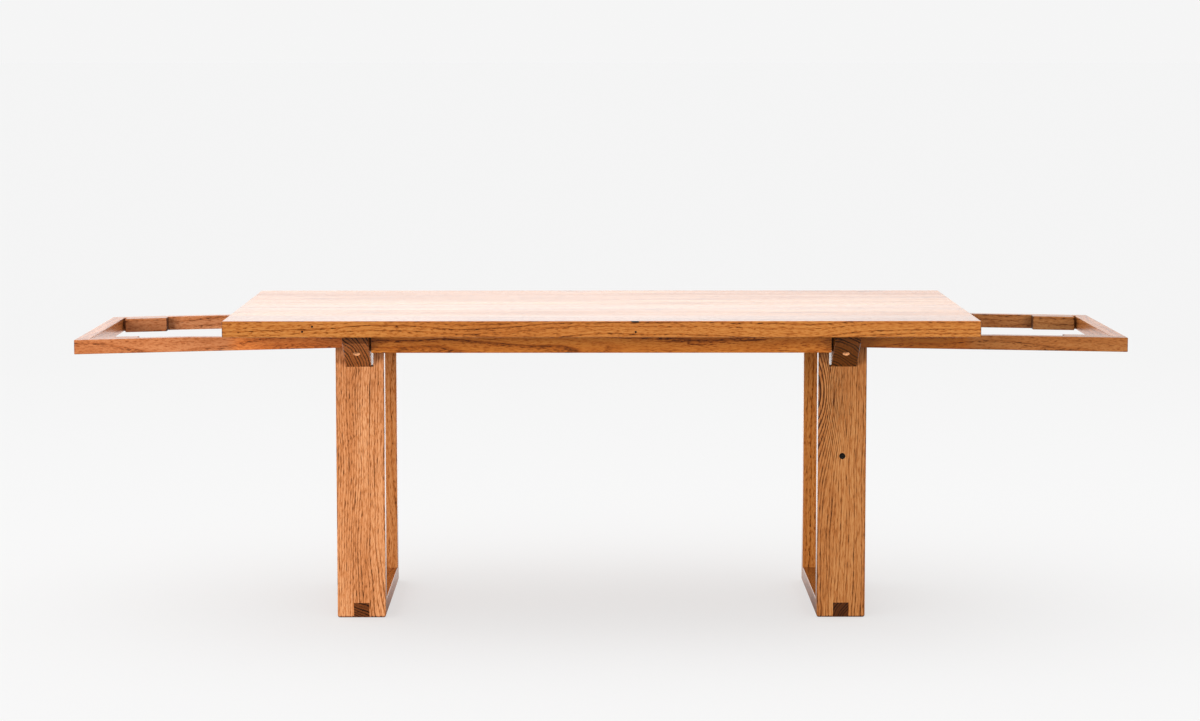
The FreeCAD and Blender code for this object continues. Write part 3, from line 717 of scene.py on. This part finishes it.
def poured_filler(low, high, sides, seed):
    """Resin poured into a round hole of a front face: a level rim round a sunk, uneven middle."""
    radius = (high.x - low.x) / 2
    depth = high.y - low.y
    clear_selection()
    bpy.ops.mesh.primitive_cylinder_add(
        vertices=sides, radius=radius, depth=depth, location=(low + high) / 2, rotation=(math.pi / 2, 0, 0))
    filler = bpy.context.object
    place_in_mesh()
    pick(filler, "faces", lambda centre, normal: normal.y < -0.9)
    for width, rise in POURED_RINGS:
        bpy.ops.mesh.inset(thickness=width * radius, depth=rise * radius)
    bpy.ops.mesh.poke()
    sunk = low.y + 0.01 * radius
    halfway = low.y + 0.5 * depth
    unevenness = 0.05 * radius
    pick(filler, "edges", lambda start, end: sunk < min(start.y, end.y) and max(start.y, end.y) < halfway)
    bpy.ops.transform.vertex_random(offset=unevenness, uniform=1.0, seed=seed)
    bpy.ops.object.mode_set(mode="OBJECT")
    return filler


def fill_holes(node, name, resin, sides, seed):
    """Pours resin into every hole that a CAD node plugs, and lets it stand for the node."""
    fillers = []
    for number, points in enumerate(solids(node)):
        fillers.append(poured_filler(*corners(points), sides, seed + number))
    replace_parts(settle(join(fillers), name, "table", resin), node)


def split_filler(middle, length, radius):
    """A sliver of resin in a split of the top's front arris: a spindle that breaks the rounded edge."""
    clear_selection()
    bpy.ops.mesh.primitive_cylinder_add(
        vertices=24, radius=radius, depth=length, location=middle, rotation=(0, math.pi / 2, 0))
    sliver = bpy.context.object
    place_in_mesh()
    steps = 10
    pick(sliver, "edges", lambda start, end: abs(start.x - end.x) > 0.4 * length)
    bpy.ops.mesh.subdivide(number_cuts=steps - 1)
    for step in range(steps + 1):
        x = middle.x + length * (step / steps - 0.5)
        pick(sliver, "edges", lambda start, end: max(abs(start.x - x), abs(end.x - x)) < 0.01 * length)
        # Thickest in the middle, and a little uneven.
        swell = 0.9 + 0.13 * math.sin(math.pi * step / steps) + 0.02 * math.sin(7.3 * step)
        bpy.ops.transform.resize(value=(1, swell, swell), center_override=(x, middle.y, middle.z))
    bpy.ops.object.mode_set(mode="OBJECT")
    return sliver


class TABLE_OT_finish_top(bpy.types.Operator):
    """Oil the six boards of the top"""
    bl_idname = "table.finish_top"
    bl_label = "Top boards"

    def execute(self, context):
        for node, cut in TOP_CUTS.items():
            dress(node, cut)
        return {"FINISHED"}


class TABLE_OT_finish_legs(bpy.types.Operator):
    """Oil the legs and the floor rails"""
    bl_idname = "table.finish_legs"
    bl_label = "Legs and floor rails"

    def execute(self, context):
        for node, cut in LEG_CUTS.items():
            dress(node, cut)
        return {"FINISHED"}


class TABLE_OT_finish_bearers(bpy.types.Operator):
    """Oil the two cross bearers; the mouths of the bored screw holes stay bare, and higher up their walls get
    painted shade
    """
    bl_idname = "table.finish_bearers"
    bl_label = "Bearers"

    def execute(self, context):
        just_past_wall = 8.6 * MM
        bare_height = 40 * MM
        for node, cut in BEARER_CUTS.items():
            # The holes that show are those of the outermost screws.
            low, high = corners(solids(f"{node}_screws")[-1])
            axis = (low + high) / 2
            # Above this height the bored wall is painted dark as painted shade.
            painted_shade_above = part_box(node)[0].z + bare_height
            dress(node, replace(cut, bore=Bore(abs(axis.x), abs(axis.y), just_past_wall, painted_shade_above)))
        return {"FINISHED"}


class TABLE_OT_finish_aprons(bpy.types.Operator):
    """Oil the aprons and the runners behind them"""
    bl_idname = "table.finish_aprons"
    bl_label = "Aprons and runners"

    def execute(self, context):
        for node, cut in APRON_CUTS.items():
            dress(node, cut)
        along = RUNNERS_ALONG
        for side in ("left", "right"):
            for end in ("front", "rear"):
                dress(f"{side}_{end}_runner", Cut("X", RUNNER_HEART, along, tint=APRON_TINT))
                along += PIECE_STEP
        return {"FINISHED"}


class TABLE_OT_finish_frames(bpy.types.Operator):
    """Oil the rails, blocks and dowels of both draw frames"""
    bl_idname = "table.finish_frames"
    bl_label = "Draw frames"

    def execute(self, context):
        along = FRAMES_ALONG
        for side, tints_with_light in FRAME_TINTS_WITH_PAINTED_LIGHT.items():
            for piece, grain, heart in FRAME_PIECES:
                tint = tints_with_light.get(piece, tints_with_light["front_rail"])
                # Only the front rails get the painted light under the top.
                under_top_painted_light = UNDER_TOP_PAINTED_LIGHT[side] if piece == "front_rail" else None
                dress(f"{side}_frame_{piece}", Cut(
                    grain, heart, along, tilt=(0.008, 0.01), tint=tint, figure=0.7, pore=12,
                    roughness=0.27, under_top_painted_light=under_top_painted_light))
                along += PIECE_STEP
        return {"FINISHED"}


class TABLE_OT_drive_screws(bpy.types.Operator):
    """Drive the screws of the bearers and of the aprons into the top"""
    bl_idname = "table.drive_screws"
    bl_label = "Screws"

    def execute(self, context):
        steel = zinc_plated_steel()
        for carrier in ("left_bearer", "right_bearer", "front_apron", "rear_apron"):
            drive_screws(f"{carrier}_screws", steel)
        return {"FINISHED"}


class TABLE_OT_fill_holes(bpy.types.Operator):
    """Fill the old bolt hole, the nail holes and the split arris with black resin"""
    bl_idname = "table.fill_holes"
    bl_label = "Resin fillers"

    def execute(self, context):
        fittings = context.scene.fittings
        resin = black_resin()
        fill_holes("leg_hole_plug", "leg_hole_resin", resin, sides=40, seed=3)
        fill_holes("nail_hole_fillers", "nail_hole_resin", resin, sides=16, seed=0)
        low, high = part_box("top_board_1")
        arris = 2.5 * MM
        proud = 0.05 * MM
        middle = Vector((fittings.split_place, low.y + arris, high.z - arris))
        sliver = split_filler(middle, fittings.split_length, arris + proud)
        settle(sliver, "split_arris_resin", "table", resin)
        return {"FINISHED"}


def pale_floor(studio):
    """A painted floor that is even to the eye, and throws its light on the table mostly from behind."""
    to_horizon = 400
    below_soles = -0.3 * MM
    clear_selection()
    bpy.ops.mesh.primitive_plane_add(size=to_horizon, location=(0, 0, below_soles))
    floor = bpy.context.object
    floor.name = "studio_floor"
    material, tree = new_material("studio_paint")
    paint = add_node(tree, "ShaderNodeBsdfDiffuse", {"Color": (*studio.floor, 1)})
    ray = add_node(tree, "ShaderNodeLightPath")
    place = add_node(tree, "ShaderNodeTexCoord")
    split = add_node(tree, "ShaderNodeSeparateXYZ", {"Vector": place.outputs["Object"]})
    thrown = add_node(tree, "ShaderNodeMapRange", {
        "Value": split.outputs["Y"], "From Min": -0.2, "From Max": 1.6, "To Min": 0.1, "To Max": 1.3})
    seen = add_node(tree, "ShaderNodeMapRange", {
        "Value": split.outputs["Y"], "From Min": 0.5, "From Max": 6.0, "To Min": 0.61, "To Max": 0.575})
    level = add_node(tree, "ShaderNodeMix", {
        "Factor": ray.outputs["Is Camera Ray"], 2: thrown, 3: seen}, data_type="FLOAT")
    light = add_node(tree, "ShaderNodeEmission", {"Color": (1, 1, 1, 1), "Strength": level})
    both = add_node(tree, "ShaderNodeAddShader", {0: paint, 1: light})
    add_node(tree, "ShaderNodeOutputMaterial", {"Surface": both})
    material.cycles.emission_sampling = "NONE"
    floor.data.materials.append(material)
    return floor


def white_room(studio):
    """A room that is even behind the table; its light comes mostly from the back wall and the left."""
    world = bpy.data.worlds.new("white_room")
    world.use_nodes = True
    tree = world.node_tree
    tree.nodes.clear()
    brightest = (-0.25, 1.0, 0.0)
    ray = add_node(tree, "ShaderNodeLightPath")
    way = add_node(tree, "ShaderNodeTexCoord")
    lean = add_node(tree, "ShaderNodeVectorMath", {
        0: way.outputs["Generated"], 1: brightest}, operation="DOT_PRODUCT")
    soft = add_node(tree, "ShaderNodeMapRange", {
        "Value": lean.outputs["Value"], "From Min": -1.0, "From Max": 1.0, "To Min": 0.2, "To Max": 1.0})
    wall = add_node(tree, "ShaderNodeMapRange", {
        "Value": lean.outputs["Value"], "From Min": 0.8, "From Max": 1.0, "To Max": 0.63})
    light = add_node(tree, "ShaderNodeMath", {0: soft, 1: wall}, operation="ADD")
    level = add_node(tree, "ShaderNodeMix", {
        "Factor": ray.outputs["Is Camera Ray"], 2: light, 3: studio.room}, data_type="FLOAT")
    room = add_node(tree, "ShaderNodeBackground", {"Color": (1, 1, 1, 1), "Strength": level})
    add_node(tree, "ShaderNodeOutputWorld", {"Surface": room})
    bpy.context.scene.world = world


def soft_lights(studio, floor):
    """A wide ceiling light, and two large lights in front that leave the floor alone."""
    ceiling_lean = (0.1, -0.2, 0)
    ceiling_spread = math.radians(110)
    bpy.ops.object.light_add(type="SUN", location=(0, 0, 6), rotation=ceiling_lean)
    ceiling = bpy.context.object
    ceiling.name = "ceiling_light"
    ceiling.data.energy = studio.overhead
    ceiling.data.angle = ceiling_spread
    lamp_size = 6.0
    left_stand = Vector((-8.0, -10.0, 1.6))
    right_stand = Vector((8.0, -10.0, 1.6))
    aim = Vector((0.0, 0.0, 0.5))
    for name, power, stand in (
        ("left_light", studio.left, left_stand), ("right_light", studio.right, right_stand),
    ):
        bpy.ops.object.light_add(type="AREA", location=stand)
        lamp = bpy.context.object
        lamp.name = name
        lamp.rotation_euler = (aim - stand).to_track_quat("-Z", "Y").to_euler()
        lamp.data.energy = power
        lamp.data.size = lamp_size
        lamp.visible_camera = False
        lamp.visible_glossy = False
        floor.select_set(True)
        bpy.ops.object.light_linking_receivers_link(link_state="EXCLUDE")


def front_camera(studio):
    """The camera that sees the table from the front, a little from above."""
    bpy.ops.object.camera_add(location=studio.stand)
    camera = bpy.context.object
    aim = Matrix.Rotation(-studio.yaw, 3, "Z") @ Matrix.Rotation(math.pi / 2 - studio.pitch, 3, "X")
    camera.rotation_euler = aim.to_euler()
    camera.data.lens = studio.lens
    camera.data.clip_end = 1000
    bpy.context.scene.camera = camera


class TABLE_OT_set_stage(bpy.types.Operator):
    """Set the pale floor, the white room, the soft lights and the camera"""
    bl_idname = "table.set_stage"
    bl_label = "Stage"

    def execute(self, context):
        studio = context.scene.studio
        floor = pale_floor(studio)
        white_room(studio)
        soft_lights(studio, floor)
        front_camera(studio)
        context.scene.view_settings.view_transform = "Standard"
        return {"FINISHED"}


STEPS = (
    TABLE_OT_finish_top, TABLE_OT_finish_legs, TABLE_OT_finish_bearers, TABLE_OT_finish_aprons,
    TABLE_OT_finish_frames, TABLE_OT_drive_screws, TABLE_OT_fill_holes, TABLE_OT_set_stage,
)
GROUPS = {"timber_finish": TimberFinish, "fittings": Fittings, "studio": Studio}


class TABLE_PT_panel(bpy.types.Panel):
    """Lists the steps that finish the table and the values they use"""
    bl_idname = "TABLE_PT_panel"
    bl_label = "Draw frame table"
    bl_space_type = "VIEW_3D"
    bl_region_type = "UI"
    bl_category = "Table"

    def draw(self, context):
        for step in STEPS:
            self.layout.operator(step.bl_idname)
        for name in GROUPS:
            group = getattr(context.scene, name)
            for value in group.bl_rna.properties.keys():
                if value not in ("rna_type", "name"):
                    self.layout.prop(group, value)


CLASSES = (*GROUPS.values(), *STEPS, TABLE_PT_panel)


def register():
    for cls in CLASSES:
        bpy.utils.register_class(cls)
    for name, group in GROUPS.items():
        setattr(bpy.types.Scene, name, bpy.props.PointerProperty(type=group))


def unregister():
    for name in GROUPS:
        delattr(bpy.types.Scene, name)
    for cls in reversed(CLASSES):
        bpy.utils.unregister_class(cls)


def main():
    """Runs every step in order."""
    register()
    clear_selection()
    for step in STEPS:
        family, name = step.bl_idname.split(".")
        getattr(getattr(bpy.ops, family), name)()


if __name__ == "__main__":
    main()
